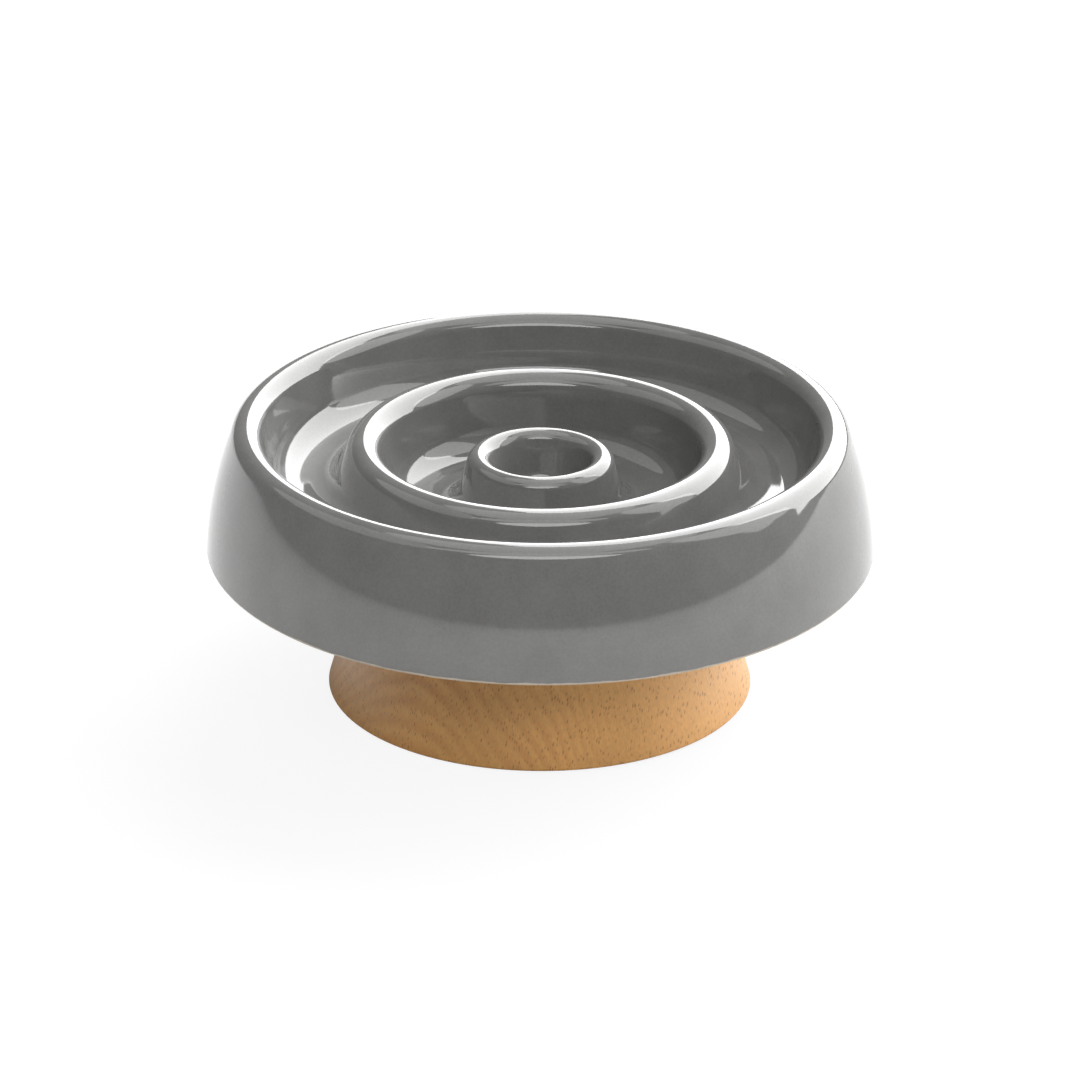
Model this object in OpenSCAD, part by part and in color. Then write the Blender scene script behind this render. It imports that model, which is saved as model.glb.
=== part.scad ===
// Slow feeder bowl: a glazed stoneware bowl with two round channels and a centre well,
// standing on a turned beech pedestal that it lifts off for washing.
// Millimetres, +Z up. The origin is on the table, under the middle of the pedestal.

/* [Bowl] */
// Largest diameter, at the lower edge of the skirt
bowl_d = 178; // [170:1:200]
// Diameter along the top of the rim
rim_crest_d = 156; // [153.4:0.2:160]
// Height from the skirt's lower edge to the top of the rim
bowl_h = 35; // [30:0.5:44]
// Height of the skirt's lower edge above the table
skirt_height = 41; // [34:0.5:60]
// Radius of the rounded rim
rim_round = 4.4; // [3.5:0.1:5.7]
// Radius of the gentle bulge down the outside of the skirt
side_round = 100; // [60:5:300]
// Corner radius along the skirt's lower edge
edge_round = 1.2; // [0.6:0.1:2]
// Thickness of the skirt
skirt_wall = 5; // [4:0.1:6]

/* [Channels] */
// Depth of the outer channel below the rim
channel_depth = 18; // [16:0.5:20]
// Depth of the inner channel and the well below the rim
inner_depth = 24; // [21:0.5:26]
// Thickness of the floor and of the outer channel's wall
floor_wall = 5.5; // [4:0.1:6]
// Radius of the hollow where the walls turn into the floor
channel_fillet = 8; // [5:0.1:8.5]
// How far the walls of the ring and the hub lean out on their way down
channel_draft = 1.5; // [0.5:0.1:2]
// How far the rim's inner wall leans in on its way down
rim_draft = 2; // [1:0.1:3]
// Radius of the hollow inside the rim
hollow_round = 2.5; // [1.5:0.1:3.5]
// Middle diameter of the step in the underside, between the floors of the two channels
step_d = 104; // [100:1:108]
// Width of that step
step_w = 7; // [4:0.5:9]

/* [Ring and hub] */
// Diameter along the top of the ring between the two channels
ring_crest_d = 94; // [90:0.5:96]
// Radius of the ring's rounded top
ring_round = 4.8; // [3:0.1:5]
// How far the ring stays below the rim
ring_drop = 4.2; // [1:0.1:6]
// Diameter along the top of the hub around the well
hub_crest_d = 33; // [30:0.5:38]
// Radius of the hub's rounded top
hub_round = 3.2; // [2:0.1:4]
// How far the hub stays below the rim
hub_drop = 8.4; // [4:0.1:10]

/* [Seat] */
// Outer diameter of the foot ring under the bowl
foot_d = 72; // [60:1:78]
// Width of the foot ring
foot_wall = 5; // [4:0.1:8]
// How far the foot ring stands out of the bowl's underside
foot_h = 4; // [3:0.1:5]
// Corner radius of the foot ring
foot_round = 0.8; // [0.4:0.1:1.2]
// Radial gap between the foot ring and the recess in the pedestal
seat_clearance = 0.5; // [0.3:0.1:1]
// Chamfer around the mouth of that recess
mouth_chamfer = 1; // [0.5:0.1:1.5]
// Thickness of the silicone ring that the foot ring stands on
seat_ring_t = 1.5; // [1:0.1:2.5]
// Width of the silicone ring
seat_ring_w = 7; // [6:0.1:10]
// Radial gap between the silicone ring and the wall of its recess
seat_ring_gap = 0.2; // [0.1:0.05:0.4]

/* [Pedestal] */
// Diameter at the foot of the pedestal
base_d = 113.2; // [108:0.2:130]
// Diameter at the top of the pedestal
base_top_d = 89.4; // [88:0.2:100]
// Gap between the pedestal's top and the bowl's underside
top_gap = 1; // [0.5:0.1:2]
// Radius along the pedestal's lower edge
base_edge_round = 0.8; // [0.4:0.1:2]
// Radius along the pedestal's upper edge
top_edge_round = 1.5; // [0.5:0.1:3]

/* [Foot pads] */
// Diameter of the silicone pads under the pedestal
pad_d = 14; // [10:0.5:18]
// Thickness of a pad
pad_t = 2.4; // [1.8:0.1:3]
// How far a pad stands out of the wood
pad_proud = 1; // [0.6:0.1:1.5]
// Diameter of the circle that the pads' centres lie on
pad_circle_d = 86; // [76:1:92]
// Radial gap around a pad in its pocket
pad_clearance = 0.2; // [0.1:0.05:0.3]
// Radius along a pad's lower edge
pad_edge_round = 0.4; // [0.2:0.1:0.5]

/* [Hidden] */
$fn = 96;

glaze_colour = [0.45, 0.45, 0.44];
beech_colour = [0.80, 0.60, 0.41];
silicone_colour = [0.86, 0.86, 0.84];

// Depth by which a cut runs past the face it opens
overrun = 1;
pad_count = 4;

// Heights, from the table up
rim_z = skirt_height + bowl_h;
outer_floor_z = rim_z - channel_depth;
outer_under_z = outer_floor_z - floor_wall;
floor_z = rim_z - inner_depth;
under_z = floor_z - floor_wall;
foot_z = under_z - foot_h;
recess_z = foot_z - seat_ring_t;
pedestal_top_z = under_z - top_gap;
pedestal_bottom_z = pad_proud;

// Middles of the rounded crests in the bowl's section, as [radius, height]
rim_c = [rim_crest_d / 2, rim_z - rim_round];
ring_c = [ring_crest_d / 2, rim_z - ring_drop - ring_round];
hub_c = [hub_crest_d / 2, rim_z - hub_drop - hub_round];

// Middles of the hollows where each wall meets the floor of its channel
outer_fillet_z = outer_floor_z + channel_fillet;
fillet_z = floor_z + channel_fillet;
wall_inset = channel_draft + channel_fillet;
rim_hollow_c = [rim_c.x - rim_round - rim_draft - channel_fillet, outer_fillet_z];
ring_out_hollow_c = [ring_c.x + ring_round + wall_inset, outer_fillet_z];
ring_in_hollow_c = [ring_c.x - ring_round - wall_inset, fillet_z];
hub_out_hollow_c = [hub_c.x + hub_round + wall_inset, fillet_z];
hub_in_hollow_c = [hub_c.x - hub_round - wall_inset, fillet_z];

// Skirt: its outer face bulges from the rim's circle to the circle of its lower edge
edge_c = [bowl_d / 2 - edge_round, skirt_height + edge_round];
side_c = crossing(rim_c, side_round - rim_round, edge_c, side_round - edge_round);
side_top_turn = turn_of(rim_c - side_c);
side_low_turn = turn_of(edge_c - side_c);

// The inner face runs alongside, down to a corner circle level with the outer one
inner_side_r = side_round - skirt_wall;
inner_edge_c = [side_c.x + leg(inner_side_r + edge_round, edge_c.y - side_c.y), edge_c.y];
inner_low_turn = turn_of(inner_edge_c - side_c);

// Top of the hollow inside the rim: it touches the skirt and the underside of the channel
shell_r = channel_fillet + floor_wall;
hollow_c = crossing(side_c, inner_side_r - hollow_round, rim_hollow_c, shell_r + hollow_round);
hollow_turn = turn_of(hollow_c - side_c);

// Largest angle between two neighbouring points of a rounding, in degrees
arc_step = 10;
// The same along the skirt, whose radius is large
bulge_step = 3;

function heading(turn) = [cos(turn), sin(turn)];
function turn_of(step) = atan2(step.y, step.x);

// Short side of a right-angled triangle
function leg(longest, other) = sqrt(longest * longest - other * other);

// Points of a rounding, from one angle to the other
function arc(middle, r, from, to) =
    let (steps = ceil(abs(to - from) / arc_step))
    [for (i = [0 : steps]) middle + r * heading(from + (to - from) * i / steps)];

// The same without its two ends, with a largest angle of its own
function inner_arc(middle, r, from, to, widest) =
    let (steps = ceil(abs(to - from) / widest))
    [for (i = [1 : 1 : steps - 1]) middle + r * heading(from + (to - from) * i / steps)];

// Point in which two circles cross, on the right of the way from the first middle to the second
function crossing(c1, r1, c2, r2) =
    let (
        step = c2 - c1,
        gap = norm(step),
        along = (gap + (r1 * r1 - r2 * r2) / gap) / 2,
        across = leg(r1, along)
    ) c1 + (along * step + across * [step.y, -step.x]) / gap;

// Angle at which a straight line along the outside of two circles touches both
function outer_turn(c1, r1, c2, r2, side) = turn_of(c2 - c1) + side * acos((r1 - r2) / norm(c2 - c1));

// Angle at which a straight line that crosses between two circles touches the first;
// it touches the second on the opposite side
function cross_turn(c1, r1, c2, r2, side) =
    let (turn = turn_of(c2 - c1) + side * acos((r1 + r2) / norm(c2 - c1)))
    turn < 0 && side < 0 ? turn + 360 : turn;

// Wall that rises from the floor of a channel to the inner side of a crest
function rising_wall(crest, crest_r, hollow) =
    arc(hollow, channel_fillet, 270, 180 + cross_turn(crest, crest_r, hollow, channel_fillet, -1));

// Rounded top of a ridge and the wall down into the channel outside it
function ridge(crest, crest_r, hollow_in, hollow_out) =
    let (
        turn_in = cross_turn(crest, crest_r, hollow_in, channel_fillet, -1),
        turn_out = cross_turn(crest, crest_r, hollow_out, channel_fillet, 1)
    ) concat(
        rising_wall(crest, crest_r, hollow_in),
        arc(crest, crest_r, turn_in, turn_out),
        arc(hollow_out, channel_fillet, 180 + turn_out, 270)
    );

// Foot ring, from its outer corner under the floor to its inner one
function foot_ring() =
    let (
        outer_x = foot_d / 2,
        inner_x = outer_x - foot_wall,
        round_z = foot_z + foot_round
    ) concat(
        [[outer_x, under_z]],
        arc([outer_x - foot_round, round_z], foot_round, 0, -90),
        arc([inner_x + foot_round, round_z], foot_round, 270, 180),
        [[inner_x, under_z]]
    );

// The bowl's section: over the top from the middle of the well to the rim, down the skirt,
// up into the hollow rim and back under the floor
function bowl_section() = concat(
    [[0, floor_z]],
    ridge(hub_c, hub_round, hub_in_hollow_c, hub_out_hollow_c),
    ridge(ring_c, ring_round, ring_in_hollow_c, ring_out_hollow_c),
    rising_wall(rim_c, rim_round, rim_hollow_c),
    arc(rim_c, rim_round, cross_turn(rim_c, rim_round, rim_hollow_c, channel_fillet, -1), side_top_turn),
    inner_arc(side_c, side_round, side_top_turn, side_low_turn, bulge_step),
    arc(edge_c, edge_round, side_low_turn, -90),
    arc(inner_edge_c, edge_round, 270, 180 + inner_low_turn),
    inner_arc(side_c, inner_side_r, inner_low_turn, hollow_turn, bulge_step),
    arc(hollow_c, hollow_round, hollow_turn, turn_of(rim_hollow_c - hollow_c)),
    inner_arc(rim_hollow_c, shell_r, turn_of(hollow_c - rim_hollow_c), -90, arc_step),
    [
        [rim_hollow_c.x, outer_under_z],
        [(step_d + step_w) / 2, outer_under_z],
        [(step_d - step_w) / 2, under_z]
    ],
    foot_ring(),
    [[0, under_z]]
);

// One casting: rim, skirt, ring, hub and floor
module bowl() {
    color(glaze_colour) rotate_extrude() polygon(bowl_section());
}

// Turned blank: flat faces with a rounded edge each and a straight tapering side
function pedestal_section() =
    let (
        base_c = [base_d / 2 - base_edge_round, pedestal_bottom_z + base_edge_round],
        top_c = [base_top_d / 2 - top_edge_round, pedestal_top_z - top_edge_round],
        side_turn = outer_turn(base_c, base_edge_round, top_c, top_edge_round, -1)
    ) concat(
        [[0, pedestal_bottom_z]],
        arc(base_c, base_edge_round, -90, side_turn),
        arc(top_c, top_edge_round, side_turn, 90),
        [[0, pedestal_top_z]]
    );

// Round recess that centres the bowl's foot ring, with a chamfered mouth to guide it in
module seat_recess() {
    recess_r = foot_d / 2 + seat_clearance;
    translate([0, 0, recess_z]) cylinder(r = recess_r, h = pedestal_top_z - recess_z + overrun);
    translate([0, 0, pedestal_top_z - mouth_chamfer])
        cylinder(r1 = recess_r, r2 = recess_r + mouth_chamfer + overrun, h = mouth_chamfer + overrun);
}

module at_pad(index) {
    rotate([0, 0, (index + 0.5) * 360 / pad_count]) translate([pad_circle_d / 2, 0, 0]) children();
}

module pedestal() {
    color(beech_colour) difference() {
        rotate_extrude() polygon(pedestal_section());
        seat_recess();
        for (index = [0 : pad_count - 1]) at_pad(index)
            cylinder(r = pad_d / 2 + pad_clearance, h = pad_t);
    }
}

// Flat silicone ring on the floor of the recess, between the foot ring and the wood
module seat_ring() {
    outer_r = foot_d / 2 + seat_clearance - seat_ring_gap;
    color(silicone_colour) translate([0, 0, recess_z]) difference() {
        cylinder(r = outer_r, h = seat_ring_t);
        translate([0, 0, -overrun])
            cylinder(r = outer_r - seat_ring_w, h = seat_ring_t + 2 * overrun);
    }
}

// Soft pad with a rounded lower edge, pressed into its pocket in the wood
module foot_pad(index) {
    edge = [pad_d / 2 - pad_edge_round, pad_edge_round];
    color(silicone_colour) at_pad(index) rotate_extrude()
        polygon(concat([[0, 0]], arc(edge, pad_edge_round, -90, 0), [[pad_d / 2, pad_t], [0, pad_t]]));
}

bowl();
pedestal();
seat_ring();
for (index = [0 : pad_count - 1])
    foot_pad(index);
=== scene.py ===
import math

import bpy
from bpy.props import FloatProperty, FloatVectorProperty, IntProperty, PointerProperty
from bpy.types import Operator, Panel, PropertyGroup
from mathutils import Matrix, Vector


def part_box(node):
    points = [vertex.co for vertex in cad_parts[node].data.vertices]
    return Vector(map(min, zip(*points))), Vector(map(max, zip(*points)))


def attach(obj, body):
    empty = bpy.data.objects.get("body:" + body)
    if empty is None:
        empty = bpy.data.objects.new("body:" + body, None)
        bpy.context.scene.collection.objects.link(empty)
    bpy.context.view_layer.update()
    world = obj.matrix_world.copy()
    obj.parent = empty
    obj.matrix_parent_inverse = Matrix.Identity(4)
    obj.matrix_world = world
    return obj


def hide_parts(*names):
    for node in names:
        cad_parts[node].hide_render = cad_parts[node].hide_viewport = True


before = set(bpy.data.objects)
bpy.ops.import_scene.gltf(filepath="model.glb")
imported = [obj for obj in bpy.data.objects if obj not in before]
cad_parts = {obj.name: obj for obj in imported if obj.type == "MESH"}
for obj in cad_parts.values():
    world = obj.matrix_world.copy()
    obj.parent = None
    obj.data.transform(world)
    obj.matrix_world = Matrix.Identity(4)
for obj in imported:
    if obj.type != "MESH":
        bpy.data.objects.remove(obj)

bl_info = {
    "name": "Slow Feeder Bowl",
    "version": (1, 0, 0),
    "blender": (4, 5, 0),
    "location": "View3D > Sidebar > Feeder Bowl",
    "description": "Glazed slow feeder bowl on a beech pedestal, with its studio",
    "category": "Add Mesh",
}

MM = 0.001
WHITE = (1.0, 1.0, 1.0, 1.0)
BOWL_LOW, BOWL_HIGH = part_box("bowl")
PADS = sorted(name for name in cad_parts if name.startswith("foot_pad"))

PATH_RADIUS = 10 * MM            # of the circle that a section is swept round
WELD_DISTANCE = 0.002 * MM       # points of a turned mesh closer than this are one
SHARP_ANGLE = math.radians(40)   # faces that meet at more than this keep a crisp edge

LAMP_DISTANCE = 2.0              # from the bowl to each lamp
LAMP_TARGET = Vector((0, 0, 50 * MM))
TABLE_SIDES = 96                 # of the round table top's outline
FLOOR_REACH = 6                  # half the side of the white floor

PHOTO_SIDE = 1080                # pixels along each side of the picture
SENSOR_WIDTH = 36.0              # millimetres
CAMERA_TARGET = Vector((0, 0, 0.041))
TARGET_PIXEL = (0.3, 4.3)        # where it shows: right of the middle, and below it


def length(name, description, default_mm):
    """A size property, given in millimetres and kept in metres."""
    return FloatProperty(
        name=name, description=description, default=default_mm * MM, unit="LENGTH",
        subtype="DISTANCE", precision=5, min=0.0,
    )


def colour(name, description, default):
    """A colour property with linear values."""
    return FloatVectorProperty(
        name=name, description=description, default=default, subtype="COLOR",
        size=3, min=0.0, max=1.0,
    )


# ---------------------------------------------------------------- properties

class BowlSizes(PropertyGroup):
    """Sizes of the bowl's cast section."""
    bowl_d: FloatProperty(
        name="Bowl diameter", description="Largest diameter, at the skirt's lower edge",
        default=BOWL_HIGH.x - BOWL_LOW.x, unit="LENGTH", subtype="DISTANCE")
    rim_z: FloatProperty(
        name="Rim height", description="Top of the rim above the table",
        default=BOWL_HIGH.z, unit="LENGTH", subtype="DISTANCE")
    skirt_z: FloatProperty(
        name="Skirt height", description="Skirt's lower edge above the table",
        default=BOWL_LOW.z, unit="LENGTH", subtype="DISTANCE")
    rim_crest_d: length("Rim crest", "Diameter along the top of the rim", 156)
    rim_round: length("Rim radius", "Radius of the rounded rim", 4.4)
    side_round: length("Side radius", "Radius of the bulge down the skirt", 100)
    edge_round: length("Edge radius", "Corner radius along the skirt's lower edge", 1.2)
    skirt_wall: length("Skirt wall", "Thickness of the skirt", 5)
    channel_depth: length("Channel depth", "Depth of the outer channel below the rim", 18)
    inner_depth: length("Inner depth", "Depth of the inner channel below the rim", 24)
    floor_wall: length("Floor thickness", "Thickness of the floor and channel wall", 5.5)
    channel_fillet: length("Channel fillet", "Radius where the walls meet the floor", 8)
    channel_draft: length("Channel draft", "How far the ring's and hub's walls lean", 1.5)
    rim_draft: length("Rim draft", "How far the rim's inner wall leans in", 2)
    hollow_round: length("Hollow radius", "Radius of the hollow inside the rim", 2.5)
    step_d: length("Step diameter", "Middle of the step in the underside", 104)
    step_w: length("Step width", "Width of the step in the underside", 7)
    ring_crest_d: length("Ring crest", "Diameter along the top of the ring", 94)
    ring_round: length("Ring radius", "Radius of the ring's rounded top", 4.8)
    ring_drop: length("Ring drop", "How far the ring stays below the rim", 4.2)
    hub_crest_d: length("Hub crest", "Diameter along the top of the hub", 33)
    hub_round: length("Hub radius", "Radius of the hub's rounded top", 3.2)
    hub_drop: length("Hub drop", "How far the hub stays below the rim", 8.4)
    foot_d: length("Foot diameter", "Outer diameter of the foot ring", 72)
    foot_wall: length("Foot width", "Width of the foot ring", 5)
    foot_h: length("Foot height", "How far the foot ring stands out", 4)
    foot_round: length("Foot radius", "Corner radius of the foot ring", 0.8)
    turns: IntProperty(
        name="Steps around", description="Faces around the bowl", default=256, min=24)
    arc_step: FloatProperty(
        name="Arc step", description="Largest angle between two points of a rounding",
        default=math.radians(6), unit="ROTATION", subtype="ANGLE")
    side_step: FloatProperty(
        name="Side step", description="Largest angle between two points down the skirt",
        default=math.radians(1), unit="ROTATION", subtype="ANGLE")


class GlazeFinish(PropertyGroup):
    """Grey glaze over stoneware."""
    light: colour("Glaze light", "Glaze where it lies thickest", (0.134, 0.133, 0.129))
    dark: colour("Glaze dark", "Glaze where it lies thinnest", (0.118, 0.117, 0.113))
    clay: colour("Bare clay", "Unglazed clay along the lower edges", (0.42, 0.36, 0.29))
    clay_line: length("Clay line", "Height of the unglazed edge", 0.9)
    roughness: FloatProperty(
        name="Roughness", description="Roughness of the glaze", default=0.06,
        subtype="FACTOR", min=0.0, max=1.0)
    clay_roughness: FloatProperty(
        name="Clay roughness", description="Roughness of the bare clay", default=0.7,
        subtype="FACTOR", min=0.0, max=1.0)
    ior: FloatProperty(
        name="Refractive index", description="How strongly the glaze mirrors the room",
        default=1.65, min=1.0)
    waviness: FloatProperty(
        name="Waviness", description="Depth of the slow waves in the glaze",
        default=0.05 * MM, unit="LENGTH", subtype="DISTANCE", precision=6)
    pitting: FloatProperty(
        name="Pitting", description="Depth of the fine orange peel in the glaze",
        default=0.0015 * MM, unit="LENGTH", subtype="DISTANCE", precision=6)


class BeechFinish(PropertyGroup):
    """Oiled beech."""
    light: colour("Early wood", "Pale part of each growth ring", (0.720, 0.375, 0.115))
    dark: colour("Late wood", "Darkest part of each growth ring", (0.540, 0.230, 0.052))
    fleck: colour("Fleck", "Short rays that show as flecks", (0.25, 0.09, 0.018))
    pith: FloatVectorProperty(
        name="Pith", description="Middle of the growth rings, in plan",
        default=(0.065, 0.076), unit="LENGTH", subtype="XYZ", size=2)
    ring_width: length("Ring width", "Mean width of a growth ring", 1.6)
    fleck_width: length("Fleck width", "Thickness of a ray", 0.25)
    fleck_length: length("Fleck length", "Height of a ray along the fibres", 1.2)
    roughness: FloatProperty(
        name="Roughness", description="Roughness of the oiled wood", default=0.42,
        subtype="FACTOR", min=0.0, max=1.0)
    oil: FloatProperty(
        name="Oil", description="Strength of the satin oil film", default=0.4,
        subtype="FACTOR", min=0.0, max=1.0)
    oil_roughness: FloatProperty(
        name="Oil roughness", description="Roughness of the oil film", default=0.24,
        subtype="FACTOR", min=0.0, max=1.0)
    pore_depth: FloatProperty(
        name="Pore depth", description="Depth of the fibres and flecks",
        default=0.02 * MM, unit="LENGTH", subtype="DISTANCE", precision=6)


class SiliconeFinish(PropertyGroup):
    """Matt silicone of the seat ring and the foot pads."""
    tint: colour("Silicone", "Colour of the silicone", (0.62, 0.62, 0.60))
    roughness: FloatProperty(
        name="Roughness", description="Roughness of the silicone", default=0.55,
        subtype="FACTOR", min=0.0, max=1.0)
    milkiness: FloatProperty(
        name="Milkiness", description="Share of the light that enters the silicone",
        default=0.15, subtype="FACTOR", min=0.0, max=1.0)
    milk_depth: length("Milk depth", "How far light goes into the silicone", 2)
    tooth: FloatProperty(
        name="Tooth", description="Depth of the matt surface's grain",
        default=0.02 * MM, unit="LENGTH", subtype="DISTANCE", precision=6)


class StudioSettings(PropertyGroup):
    """Floor, lamps and camera."""
    elevation: FloatProperty(
        name="Camera elevation", description="How steeply the camera looks down",
        default=math.radians(24.14), unit="ROTATION", subtype="ANGLE")
    roll: FloatProperty(
        name="Camera roll", description="Turn of the camera about its view axis",
        default=math.radians(-0.31), unit="ROTATION", subtype="ANGLE")
    distance: FloatProperty(
        name="Camera distance", description="Distance to the middle of the bowl",
        default=1.972, unit="LENGTH", subtype="DISTANCE")
    lens: FloatProperty(
        name="Lens", description="Focal length in millimetres on a 36 mm sensor",
        default=246.5, min=1.0)
    key_level: FloatProperty(
        name="Softbox", description="Radiance of the big softbox behind the bowl",
        default=5.8, min=0.0)
    front_level: FloatProperty(
        name="Front panel", description="Radiance of the small panel above the camera",
        default=4.4, min=0.0)
    halo_level: FloatProperty(
        name="Front halo", description="Radiance of the dimmer panel over the front one",
        default=1.8, min=0.0)
    side_level: FloatProperty(
        name="Right panel", description="Radiance of the panel on the right",
        default=2.2, min=0.0)
    left_level: FloatProperty(
        name="Left panel", description="Radiance of the dim panel on the left",
        default=0.9, min=0.0)
    top_level: FloatProperty(
        name="Overhead", description="Radiance of the overhead panel", default=1.4, min=0.0)
    room_level: FloatProperty(
        name="Room", description="Light that the room throws on the set",
        default=0.05, min=0.0)
    mirror_level: FloatProperty(
        name="Mirrored room", description="Brightness of the room in reflections",
        default=0.32, min=0.0)
    table_tone: FloatProperty(
        name="Table tone", description="Reflectance of the pale table top", default=0.8,
        subtype="FACTOR", min=0.0, max=1.0)
    table_r: FloatProperty(
        name="Table radius", description="Radius of the round table top",
        default=3.0, unit="LENGTH", subtype="DISTANCE")
    shadow_tone: FloatProperty(
        name="Shadow tone", description="Share of the lamps' light that the floor shows",
        default=0.16, subtype="FACTOR", min=0.0, max=1.0)
    floor_glow: FloatProperty(
        name="Floor glow", description="White that the floor gives the camera by itself",
        default=0.89, min=0.0)


class FeederBowlScene(PropertyGroup):
    """Everything that a user may change."""
    bowl: PointerProperty(type=BowlSizes)
    glaze: PointerProperty(type=GlazeFinish)
    beech: PointerProperty(type=BeechFinish)
    silicone: PointerProperty(type=SiliconeFinish)
    studio: PointerProperty(type=StudioSettings)


# ------------------------------------------------------------- node helpers

class NodeBuilder:
    """Adds nodes to a tree and links them, value by value."""

    def __init__(self, tree):
        self.tree = tree

    def feed(self, socket, value):
        """Links a node's output to a socket, or sets the socket to a plain value."""
        if isinstance(value, bpy.types.NodeSocket):
            self.tree.links.new(value, socket)
        else:
            socket.default_value = value

    def add(self, kind, values=None, **settings):
        node = self.tree.nodes.new(kind)
        for key, value in settings.items():
            setattr(node, key, value)
        for key, value in (values or {}).items():
            self.feed(node.inputs[key], value)
        return node

    def math(self, operation, *terms):
        return self.add(
            "ShaderNodeMath", dict(enumerate(terms)), operation=operation).outputs[0]

    def noise(self, vector, scale, detail=2.0, roughness=0.5):
        """A noise about 0.5, with its scale in cycles per metre."""
        return self.add("ShaderNodeTexNoise", {
            "Vector": vector, "Scale": scale, "Detail": detail, "Roughness": roughness,
        }).outputs["Fac"]

    def remap(self, value, low, high, to_low=0.0, to_high=1.0, smooth=True):
        return self.add("ShaderNodeMapRange", {
            "Value": value, "From Min": low, "From Max": high,
            "To Min": to_low, "To Max": to_high,
        }, interpolation_type="SMOOTHSTEP" if smooth else "LINEAR").outputs["Result"]

    def patches(self, vector, scale, low, high, detail=2.0, roughness=0.5, margin=0.3):
        """A noise spread between two values; a wider margin at both ends of the noise
        gives harder patches."""
        field = self.noise(vector, scale, detail, roughness)
        return self.remap(field, margin, 1 - margin, low, high)

    def blend(self, factor, first, second, mode="MIX"):
        node = self.add("ShaderNodeMix", data_type="RGBA", blend_type=mode)
        for key, value in ((0, factor), (6, first), (7, second)):
            self.feed(node.inputs[key], value)
        return node.outputs[2]

    def shade(self, tint, factor):
        """A colour made lighter or darker by a factor."""
        return self.blend(1.0, tint, self.combine(factor, factor, factor), "MULTIPLY")

    def combine(self, x, y, z):
        return self.add("ShaderNodeCombineXYZ", {"X": x, "Y": y, "Z": z}).outputs[0]

    def bump(self, height, distance, strength=1.0, **more):
        return self.add("ShaderNodeBump", {
            "Height": height, "Distance": distance, "Strength": strength, **more,
        }).outputs["Normal"]


def new_material(name):
    """An empty node material, its builder, its object coordinates and its shader."""
    material = bpy.data.materials.new(name)
    material.use_nodes = True
    material.node_tree.nodes.clear()
    build = NodeBuilder(material.node_tree)
    place = build.add("ShaderNodeTexCoord").outputs["Object"]
    shader = build.add("ShaderNodeBsdfPrincipled")
    build.add("ShaderNodeOutputMaterial", {"Surface": shader.outputs["BSDF"]})
    return material, build, place, shader


def solid(rgb):
    """A colour property as a shader's opaque colour."""
    return (*rgb, 1.0)


# ----------------------------------------------------------------- materials

def glaze_material(finish, skirt_z):
    """Glossy grey glaze with faint mottling, slow waves and a bare clay line below."""
    material, build, place, shader = new_material("grey_glaze")
    cloud = build.patches(place, scale=70, low=0.0, high=1.0, detail=3, roughness=0.55)
    speckle = build.patches(place, scale=1400, low=0.94, high=1.06, detail=3, roughness=0.6)
    body = build.blend(cloud, solid(finish.dark), solid(finish.light))
    glaze = build.shade(body, speckle)

    # The glaze thins out between two heights near the clay line, which wander with a noise.
    wander, all_bare, all_glazed = 0.8 * MM, 0.65 * MM, 0.25 * MM
    line = skirt_z + finish.clay_line
    height = build.add("ShaderNodeSeparateXYZ", {"Vector": place}).outputs["Z"]
    height = build.math("MULTIPLY_ADD", build.noise(place, scale=160), -wander, height)
    bare = build.remap(height, line - all_bare, line - all_glazed, 1.0, 0.0)
    tooth = build.patches(place, scale=2600, low=0.9, high=1.06, margin=0.35)
    clay = build.shade(solid(finish.clay), tooth)

    waves = build.bump(build.noise(place, scale=38, detail=1, roughness=0.4),
                       finish.waviness)
    peel = build.bump(build.noise(place, scale=420), finish.pitting, Normal=waves)
    build.feed(shader.inputs["Base Color"], build.blend(bare, glaze, clay))
    build.feed(shader.inputs["Roughness"],
               build.remap(bare, 0, 1, finish.roughness, finish.clay_roughness))
    build.feed(shader.inputs["IOR"], finish.ior)
    build.feed(shader.inputs["Normal"], peel)
    return material


def growth_rings(build, place, axes, finish):
    """How far each point is into late wood, from 0 to 1, and its place about the pith:
    x and y from it, and the distance to it."""
    drift_span, darkest = 7 * MM, 0.6
    sway = build.add("ShaderNodeMapping", {"Vector": place, "Scale": (1.0, 1.0, 0.5)})
    drift = build.math("MULTIPLY_ADD", build.noise(sway.outputs[0], scale=28),
                       drift_span, -drift_span / 2)
    pith_x = build.math("SUBTRACT", axes["X"], finish.pith[0])
    pith_y = build.math("SUBTRACT", axes["Y"], finish.pith[1])
    across = build.math("SQRT", build.math(
        "MULTIPLY_ADD", pith_x, pith_x, build.math("MULTIPLY", pith_y, pith_y)))
    ring = build.math("DIVIDE", build.math("ADD", across, drift), finish.ring_width)
    phase = build.math("FRACT", ring)
    late = build.math("MULTIPLY", build.remap(phase, 0.0, darkest),
                      build.remap(phase, darkest, 1.0, 1.0, 0.0))
    return late, pith_x, pith_y, across


def flat_cut(build, axes, pith_x, pith_y):
    """1 where the turned face runs along the rings and 0 where it crosses them: rings
    show as bold bands on the first and hardly at all on the second."""
    outward = build.add("ShaderNodeVectorMath", {
        0: build.combine(axes["X"], axes["Y"], 0.0)}, operation="NORMALIZE")
    radial = build.add("ShaderNodeVectorMath", {
        0: build.combine(pith_x, pith_y, 0.0)}, operation="NORMALIZE")
    facing = build.add("ShaderNodeVectorMath", {
        0: outward.outputs[0], 1: radial.outputs[0]}, operation="DOT_PRODUCT")
    falloff = 5.0
    return build.math("POWER", build.math("ABSOLUTE", facing.outputs["Value"]), falloff)


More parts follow.
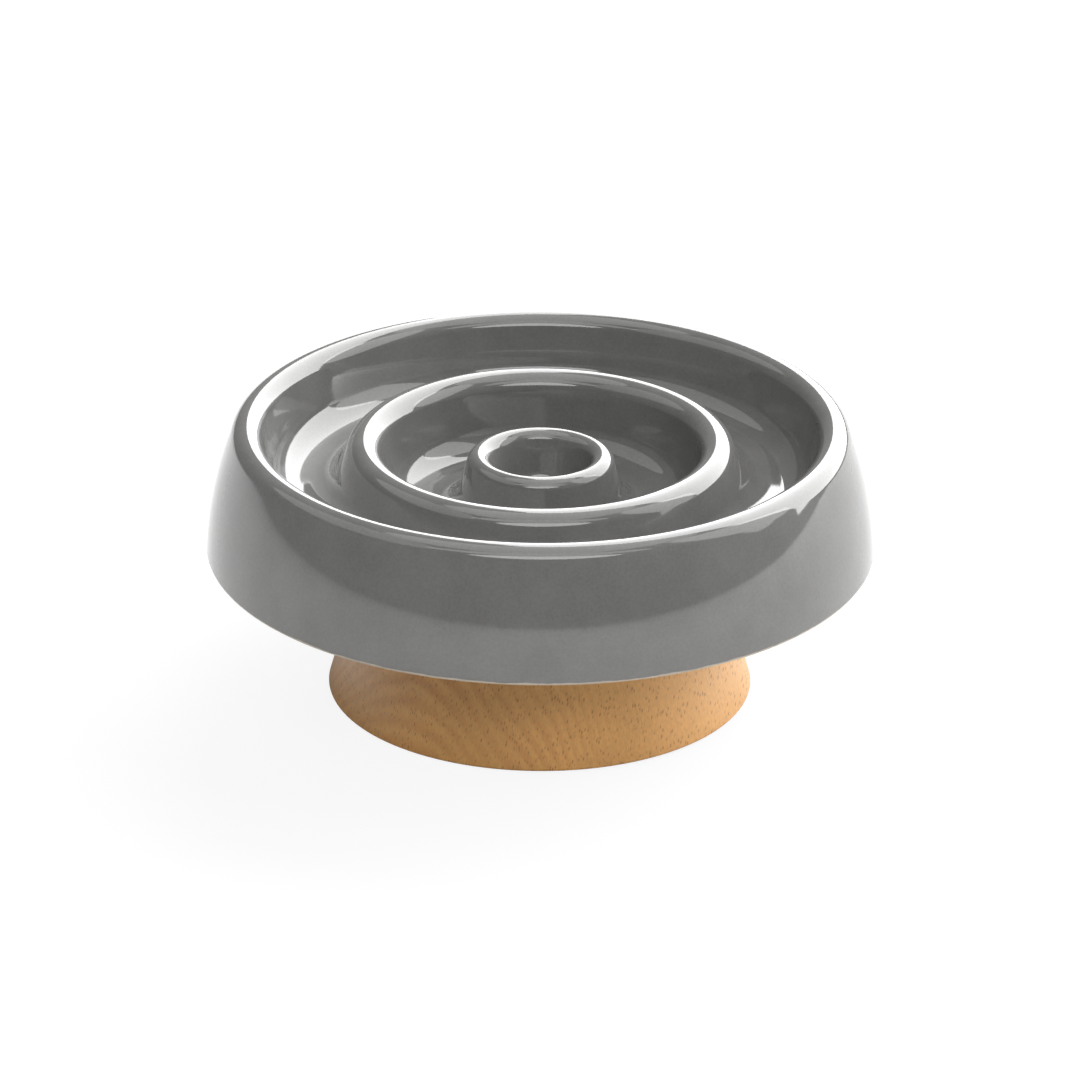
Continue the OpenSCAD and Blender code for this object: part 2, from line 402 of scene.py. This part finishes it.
def ray_flecks(build, axes, pith_x, pith_y, across, finish):
    """The short dark rays, one in each cell of a grid that follows the rings. A fleck is
    whole inside its core and gone at its edge, and some are faint and some strong."""
    gap_around, gap_along, gap_deep = 1.7, 1.4, 3 * MM
    core, edge, faint, strong = 0.18, 0.40, 0.1, 0.6
    reach = math.hypot(*finish.pith)
    around = build.math("MULTIPLY", build.math("ARCTAN2", pith_x, pith_y), reach)
    cell = build.combine(
        build.math("DIVIDE", around, finish.fleck_width * gap_around),
        build.math("DIVIDE", across, gap_deep),
        build.math("DIVIDE", axes["Z"], finish.fleck_length * gap_along))
    rays = build.add("ShaderNodeTexVoronoi", {
        "Vector": cell, "Scale": 1.0, "Randomness": 1.0})
    chance = build.add("ShaderNodeSeparateColor", {"Color": rays.outputs["Color"]})
    spot = build.remap(rays.outputs["Distance"], core, edge, 1.0, 0.0)
    strength = build.remap(chance.outputs[0], 0.1, 1.0, faint, strong)
    return build.math("MULTIPLY", spot, strength)


def beech_material(finish):
    """Oiled beech with upright fibres: growth rings about a pith behind the blank, and
    the short dark rays that cross them."""
    material, build, place, shader = new_material("beech")
    axes = build.add("ShaderNodeSeparateXYZ", {"Vector": place}).outputs
    late, pith_x, pith_y, across = growth_rings(build, place, axes, finish)
    faintest, boldest = 0.08, 0.8
    boldness = build.math(
        "MULTIPLY", build.patches(place, scale=30, low=0.35, high=1.0),
        build.remap(flat_cut(build, axes, pith_x, pith_y), 0.0, 1.0, faintest, boldest))
    wood = build.blend(build.math("MULTIPLY", late, boldness),
                       solid(finish.light), solid(finish.dark))
    fleck = ray_flecks(build, axes, pith_x, pith_y, across, finish)
    wood = build.blend(fleck, wood, solid(finish.fleck))

    stretch = build.add("ShaderNodeMapping", {"Vector": place, "Scale": (1.0, 1.0, 0.09)})
    fibre = build.patches(stretch.outputs[0], scale=2600, low=0.90, high=1.08,
                          detail=3, roughness=0.6, margin=0.25)
    cloud = build.patches(place, scale=34, low=0.93, high=1.07, detail=3)
    wood = build.shade(wood, build.math("MULTIPLY", fibre, cloud))

    fleck_roughness = finish.roughness + 0.12
    build.feed(shader.inputs["Base Color"], wood)
    build.feed(shader.inputs["Roughness"],
               build.remap(fleck, 0, 1, finish.roughness, fleck_roughness))
    build.feed(shader.inputs["Coat Weight"], finish.oil)
    build.feed(shader.inputs["Coat Roughness"], finish.oil_roughness)
    build.feed(shader.inputs["Normal"], build.bump(
        build.math("SUBTRACT", fibre, fleck), finish.pore_depth, strength=0.5))
    return material


def silicone_material(finish):
    """Matt, slightly cloudy silicone."""
    material, build, place, shader = new_material("silicone")
    cloud = build.patches(place, scale=300, low=0.95, high=1.04, detail=3)
    build.feed(shader.inputs["Base Color"], build.shade(solid(finish.tint), cloud))
    build.feed(shader.inputs["Roughness"], finish.roughness)
    build.feed(shader.inputs["Subsurface Weight"], finish.milkiness)
    build.feed(shader.inputs["Subsurface Scale"], finish.milk_depth)
    build.feed(shader.inputs["Normal"], build.bump(
        build.noise(place, scale=1800), finish.tooth, strength=0.4))
    return material


# ------------------------------------------------------------ bowl's section

def heading(turn):
    """Unit vector at an angle."""
    return Vector((math.cos(turn), math.sin(turn)))


def arc(middle, radius, start, end, step):
    """Points of a rounding, from one angle to the other."""
    slack = 1e-9
    count = max(1, math.ceil(abs(end - start) / step - slack))
    return [middle + radius * heading(start + (end - start) * i / count)
            for i in range(count + 1)]


def turn_of(gap):
    """Angle of a vector."""
    return math.atan2(gap.y, gap.x)


def leg(longest, other):
    """A short side of a right-angled triangle, from its longest and other sides."""
    return math.sqrt(longest * longest - other * other)


def crossing(first, first_r, second, second_r):
    """Point in which two circles cross, on the right of the way from first to second."""
    gap = second - first
    along = (gap.length_squared + first_r * first_r - second_r * second_r) / gap.length / 2
    across = leg(first_r, along)
    return first + (along * gap + across * Vector((gap.y, -gap.x))) / gap.length


def cross_turn(first, first_r, second, second_r, side):
    """Angle at which a line that touches two circles, and crosses from one side of them
    to the other, touches the first; side is 1 or -1 for one or the other such line."""
    gap = second - first
    turn = turn_of(gap) + side * math.acos((first_r + second_r) / gap.length)
    return turn + math.tau if turn < 0 and side < 0 else turn


def bowl_section(size):
    """The casting's section as [radius, height], from the well's middle over the rim
    and down the skirt, then back under the floor to the middle."""
    step = size.arc_step
    right, down, left, down_again = 0.0, -math.pi / 2, math.pi, 3 * math.pi / 2
    outer_z = size.rim_z - size.channel_depth
    floor_z = size.rim_z - size.inner_depth
    under_z = floor_z - size.floor_wall
    foot_z = under_z - size.foot_h
    fillet = size.channel_fillet
    inset = size.channel_draft + fillet
    rim = Vector((size.rim_crest_d / 2, size.rim_z - size.rim_round))
    ring = Vector((size.ring_crest_d / 2, size.rim_z - size.ring_drop - size.ring_round))
    hub = Vector((size.hub_crest_d / 2, size.rim_z - size.hub_drop - size.hub_round))
    rim_in = Vector((rim.x - size.rim_round - size.rim_draft - fillet, outer_z + fillet))
    edge = Vector((size.bowl_d / 2 - size.edge_round, size.skirt_z + size.edge_round))
    side = crossing(rim, size.side_round - size.rim_round,
                    edge, size.side_round - size.edge_round)
    side_top, side_low = turn_of(rim - side), turn_of(edge - side)
    inner_r = size.side_round - size.skirt_wall
    inner_edge = Vector((
        side.x + leg(inner_r + size.edge_round, edge.y - side.y), edge.y))
    inner_low = turn_of(inner_edge - side)
    shell_r = fillet + size.floor_wall
    hollow = crossing(side, inner_r - size.hollow_round,
                      rim_in, shell_r + size.hollow_round)
    inner_top = turn_of(hollow - side)
    step_out = Vector(((size.step_d + size.step_w) / 2, outer_z - size.floor_wall))
    step_in = Vector(((size.step_d - size.step_w) / 2, under_z))

    def bulge(radius, start, end):
        """Points along a face of the skirt, without its two ends."""
        return arc(side, radius, start, end, size.side_step)[1:-1]

    def rise(crest, crest_r, low):
        """Points up a channel's fillet to the wall, and where the wall meets the crest."""
        turn = cross_turn(crest, crest_r, low, fillet, -1)
        return arc(low, fillet, down_again, left + turn, step), turn

    def ridge(crest, crest_r, out_z):
        """Points over a ridge, from the inner floor to the floor outside it."""
        low_in = Vector((crest.x - crest_r - inset, floor_z + fillet))
        low_out = Vector((crest.x + crest_r + inset, out_z + fillet))
        wall, turn_in = rise(crest, crest_r, low_in)
        turn_out = cross_turn(crest, crest_r, low_out, fillet, 1)
        return (wall + arc(crest, crest_r, turn_in, turn_out, step)
                + arc(low_out, fillet, left + turn_out, down_again, step))

    rim_wall, rim_turn = rise(rim, size.rim_round, rim_in)
    foot_out = size.foot_d / 2
    foot_in = foot_out - size.foot_wall
    foot_r, round_z = size.foot_round, foot_z + size.foot_round
    return (
        [Vector((0, floor_z))]
        + ridge(hub, size.hub_round, floor_z)
        + ridge(ring, size.ring_round, outer_z)
        + rim_wall
        + arc(rim, size.rim_round, rim_turn, side_top, step)
        + bulge(size.side_round, side_top, side_low)
        + arc(edge, size.edge_round, side_low, down, step)
        + arc(inner_edge, size.edge_round, down_again, left + inner_low, step)
        + bulge(inner_r, inner_low, inner_top)
        + arc(hollow, size.hollow_round, inner_top, turn_of(rim_in - hollow), step)
        + arc(rim_in, shell_r, turn_of(hollow - rim_in), down, step)[1:]
        + [step_out, step_in, Vector((foot_out, under_z))]
        + arc(Vector((foot_out - foot_r, round_z)), foot_r, right, down, step)
        + arc(Vector((foot_in + foot_r, round_z)), foot_r, down_again, left, step)
        + [Vector((foot_in, under_z)), Vector((0, under_z))]
    )


def lathe_tree():
    """Geometry nodes that turn a section, drawn as a line of edges, into a round body."""
    tree = bpy.data.node_groups.new("Lathe", "GeometryNodeTree")
    tree.is_modifier = True
    for name, kind in (("Geometry", "Geometry"), ("Path Radius", "Float"),
                       ("Steps Around", "Int"), ("Weld Distance", "Float"),
                       ("Material", "Material")):
        socket = tree.interface.new_socket(
            name, in_out="INPUT", socket_type="NodeSocket" + kind)
        if kind == "Float":
            socket.subtype = "DISTANCE"
    tree.interface.new_socket(
        "Geometry", in_out="OUTPUT", socket_type="NodeSocketGeometry")
    build = NodeBuilder(tree)
    given = build.add("NodeGroupInput").outputs
    line = build.add("GeometryNodeMeshToCurve", {"Mesh": given["Geometry"]})
    path = build.add("GeometryNodeCurvePrimitiveCircle", {
        "Resolution": given["Steps Around"], "Radius": given["Path Radius"]})
    swept = build.add("GeometryNodeCurveToMesh", {
        "Curve": path.outputs["Curve"], "Profile Curve": line.outputs["Curve"]})
    welded = build.add("GeometryNodeMergeByDistance", {
        "Geometry": swept.outputs["Mesh"], "Distance": given["Weld Distance"]})
    smooth = build.add("GeometryNodeSetShadeSmooth", {
        "Geometry": welded.outputs["Geometry"], "Shade Smooth": True})
    real = build.add("GeometryNodeRealizeInstances", {
        "Geometry": smooth.outputs["Geometry"]})
    dressed = build.add("GeometryNodeSetMaterial", {
        "Geometry": real.outputs["Geometry"], "Material": given["Material"]})
    build.add("NodeGroupOutput", {"Geometry": dressed.outputs["Geometry"]})
    return tree


def turned(name, section, steps, material):
    """A plain mesh object turned from a section by the lathe nodes."""
    line = bpy.data.meshes.new(name + "_section")
    line.from_pydata(
        [(point.x - PATH_RADIUS, -point.y, 0) for point in section],
        [(i, i + 1) for i in range(len(section) - 1)], [])
    source = bpy.data.objects.new(name + "_source", line)
    bpy.context.scene.collection.objects.link(source)
    modifier = source.modifiers.new("Lathe", "NODES")
    tree = lathe_tree()
    values = {"Path Radius": PATH_RADIUS, "Steps Around": steps,
              "Weld Distance": WELD_DISTANCE, "Material": material}
    modifier.node_group = tree
    for item in tree.interface.items_tree:
        if item.item_type == "SOCKET" and item.in_out == "INPUT" and item.name in values:
            modifier[item.identifier] = values[item.name]
    bpy.context.view_layer.update()
    result = source.evaluated_get(bpy.context.evaluated_depsgraph_get())
    mesh = bpy.data.meshes.new_from_object(result)
    mesh.name = name
    source.modifiers.remove(modifier)
    bpy.data.objects.remove(source)
    bpy.data.meshes.remove(line)
    bpy.data.node_groups.remove(tree)
    if not mesh.polygons:
        raise RuntimeError(f"the lathe made no faces for {name}")
    mesh.set_sharp_from_angle(angle=SHARP_ANGLE)
    piece = bpy.data.objects.new(name, mesh)
    bpy.context.scene.collection.objects.link(piece)
    return piece


def dress(node, material):
    """Gives a CAD node its material."""
    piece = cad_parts[node]
    piece.data.materials.clear()
    piece.data.materials.append(material)


# ----------------------------------------------------------------- operators

class FEEDER_OT_bowl(Operator):
    """Turn the glazed bowl from its section and put it in the casting's place"""
    bl_idname = "feeder.bowl"
    bl_label = "Glazed bowl"

    def execute(self, context):
        made = context.scene.feeder_bowl
        material = glaze_material(made.glaze, made.bowl.skirt_z)
        piece = turned("glazed_bowl", bowl_section(made.bowl), made.bowl.turns, material)
        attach(piece, "bowl")
        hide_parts("bowl")
        return {"FINISHED"}


class FEEDER_OT_pedestal(Operator):
    """Finish the turned pedestal in oiled beech"""
    bl_idname = "feeder.pedestal"
    bl_label = "Beech pedestal"

    def execute(self, context):
        dress("pedestal", beech_material(context.scene.feeder_bowl.beech))
        return {"FINISHED"}


class FEEDER_OT_silicone(Operator):
    """Finish the seat ring and the foot pads in matt silicone"""
    bl_idname = "feeder.silicone"
    bl_label = "Silicone seat ring and pads"

    def execute(self, context):
        material = silicone_material(context.scene.feeder_bowl.silicone)
        for node in ["seat_ring", *PADS]:
            dress(node, material)
        return {"FINISHED"}


def panel_light(name, radiance, azimuth, elevation, sides, ends, shape="ELLIPSE"):
    """A lamp square to the line from the bowl at an azimuth (0 behind it, 90 on its
    right) and an elevation, in degrees; sides and ends are the angles at which its left
    and right, and its lower and upper edges show from the bowl, beside that line."""
    left, right, low, high = (LAMP_DISTANCE * math.tan(math.radians(edge))
                              for edge in (*sides, *ends))
    lamp = bpy.data.lights.new(name, "AREA")
    lamp.shape = shape
    lamp.size, lamp.size_y = right - left, high - low
    fill = math.pi / 4 if shape == "ELLIPSE" else 1.0
    lamp.energy = radiance * lamp.size * lamp.size_y * fill * math.pi
    side, up = math.radians(azimuth), math.radians(elevation)
    towards = Vector((math.sin(side) * math.cos(up), math.cos(side) * math.cos(up),
                      math.sin(up)))
    across = Vector((math.cos(side), -math.sin(side), 0))
    over = across.cross(towards)
    middle = (LAMP_TARGET + LAMP_DISTANCE * towards
              + across * (left + right) / 2 + over * (low + high) / 2)
    item = bpy.data.objects.new(name, lamp)
    item.matrix_world = Matrix.Translation(middle) @ Matrix(
        (across, over, towards)).transposed().to_4x4()
    item.visible_camera = False
    bpy.context.scene.collection.objects.link(item)


class FEEDER_OT_studio(Operator):
    """Set up the pale table and floor, the soft lamps, the room and the camera"""
    bl_idname = "feeder.studio"
    bl_label = "Studio"

    def execute(self, context):
        studio = context.scene.feeder_bowl.studio
        scene = context.scene
        scene.view_settings.view_transform = "Standard"
        self.table(studio)
        self.backdrop(studio)
        self.room(scene, studio)
        panel_light("softbox", studio.key_level, azimuth=25, elevation=0,
                    sides=(-28, 53), ends=(4, 62), shape="RECTANGLE")
        panel_light("front_panel", studio.front_level, azimuth=178, elevation=37,
                    sides=(-24, 24), ends=(-9, 9))
        panel_light("front_halo", studio.halo_level, azimuth=180, elevation=55,
                    sides=(-32, 32), ends=(-9, 9))
        panel_light("right_panel", studio.side_level, azimuth=94, elevation=38,
                    sides=(-18, 18), ends=(-30, 24))
        panel_light("left_panel", studio.left_level, azimuth=-90, elevation=46,
                    sides=(-35, 35), ends=(-16, 16))
        panel_light("overhead", studio.top_level, azimuth=0, elevation=90,
                    sides=(-28, 28), ends=(-28, 28))
        self.camera(scene, studio)
        return {"FINISHED"}

    def flat(self, name, corners):
        """A stage piece at table height, as one face, and its material's builder."""
        mesh = bpy.data.meshes.new(name)
        mesh.from_pydata([(x, y, 0) for x, y in corners], [], [range(len(corners))])
        item = bpy.data.objects.new(name, mesh)
        bpy.context.scene.collection.objects.link(item)
        material = bpy.data.materials.new(name)
        material.use_nodes = True
        material.node_tree.nodes.clear()
        mesh.materials.append(material)
        return item, NodeBuilder(material.node_tree)

    def table(self, studio):
        """The pale round table top that throws light on the object and shows in its
        glaze, but not to the camera."""
        rim = [studio.table_r * heading(math.tau * i / TABLE_SIDES)
               for i in range(TABLE_SIDES)]
        item, build = self.flat("table_top", rim)
        item.visible_camera = item.visible_shadow = False
        pale = solid([studio.table_tone] * 3)
        matt = build.add("ShaderNodeBsdfDiffuse", {"Color": pale})
        build.add("ShaderNodeOutputMaterial", {"Surface": matt.outputs["BSDF"]})

    def backdrop(self, studio):
        """The endless white floor that the camera sees, with the object's soft shadow."""
        near, far = -FLOOR_REACH, FLOOR_REACH
        item, build = self.flat(
            "floor", [(near, near), (far, near), (far, far), (near, far)])
        item.visible_diffuse = item.visible_glossy = item.visible_transmission = False
        item.visible_shadow = False
        shade = solid([studio.shadow_tone] * 3)
        matt = build.add("ShaderNodeBsdfDiffuse", {"Color": shade})
        glow = build.add("ShaderNodeEmission", {
            "Color": WHITE, "Strength": studio.floor_glow})
        both = build.add("ShaderNodeAddShader", {
            0: matt.outputs["BSDF"], 1: glow.outputs["Emission"]})
        build.add("ShaderNodeOutputMaterial", {"Surface": both.outputs["Shader"]})

    def room(self, scene, studio):
        """White for the camera, and brighter in mirrors than the light it throws."""
        world = bpy.data.worlds.new("room")
        world.use_nodes = True
        world.node_tree.nodes.clear()
        build = NodeBuilder(world.node_tree)
        rays = build.add("ShaderNodeLightPath").outputs
        mirror = build.math("MAXIMUM", rays["Is Glossy Ray"], rays["Is Transmission Ray"])
        level = build.remap(
            mirror, 0, 1, studio.room_level, studio.mirror_level, smooth=False)
        level = build.math("MAXIMUM", rays["Is Camera Ray"], level)
        air = build.add("ShaderNodeBackground", {"Color": WHITE, "Strength": level})
        build.add("ShaderNodeOutputWorld", {"Surface": air.outputs["Background"]})
        scene.world = world

    def camera(self, scene, studio):
        """The photograph's view: a long lens from the front, looking down."""
        lens = bpy.data.cameras.new("camera")
        lens.sensor_width = SENSOR_WIDTH
        lens.lens = studio.lens
        lens.clip_start, lens.clip_end = 0.05, 50.0
        item = bpy.data.objects.new("camera", lens)
        scene.collection.objects.link(item)
        up, roll = studio.elevation, studio.roll
        ahead = Vector((0, math.cos(up), -math.sin(up)))
        level, drop = Vector((1, 0, 0)), Vector((0, -math.sin(up), -math.cos(up)))
        across = level * math.cos(roll) + drop * math.sin(roll)
        down = drop * math.cos(roll) - level * math.sin(roll)
        pixel = studio.distance / (studio.lens / SENSOR_WIDTH * PHOTO_SIDE)
        to_right, to_low = (pixel * shift for shift in TARGET_PIXEL)
        place = CAMERA_TARGET - studio.distance * ahead - to_right * across - to_low * down
        turn = Matrix((across, -down, -ahead)).transposed().to_4x4()
        item.matrix_world = Matrix.Translation(place) @ turn
        scene.camera = item


OPERATORS = (FEEDER_OT_studio, FEEDER_OT_bowl, FEEDER_OT_pedestal, FEEDER_OT_silicone)


class FEEDER_PT_sidebar(Panel):
    """Sizes, finishes and steps of the feeder bowl"""
    bl_idname = "FEEDER_PT_sidebar"
    bl_label = "Feeder Bowl"
    bl_space_type = "VIEW_3D"
    bl_region_type = "UI"
    bl_category = "Feeder Bowl"

    def draw(self, context):
        made = context.scene.feeder_bowl
        for group in (made.bowl, made.glaze, made.beech, made.silicone, made.studio):
            box = self.layout.box()
            box.label(text=group.bl_rna.name)
            for key in group.__annotations__:
                box.prop(group, key)
        for operator in OPERATORS:
            self.layout.operator(operator.bl_idname, text=operator.bl_label)


CLASSES = (
    BowlSizes, GlazeFinish, BeechFinish, SiliconeFinish, StudioSettings, FeederBowlScene,
    *OPERATORS, FEEDER_PT_sidebar,
)


def register():
    for item in CLASSES:
        bpy.utils.register_class(item)
    bpy.types.Scene.feeder_bowl = PointerProperty(type=FeederBowlScene)


def unregister():
    del bpy.types.Scene.feeder_bowl
    for item in reversed(CLASSES):
        bpy.utils.unregister_class(item)


def main():
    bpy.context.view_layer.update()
    register()
    for operator in OPERATORS:
        group, step = operator.bl_idname.split(".")
        getattr(getattr(bpy.ops, group), step)()
    bpy.context.view_layer.update()


if __name__ == "__main__":
    main()
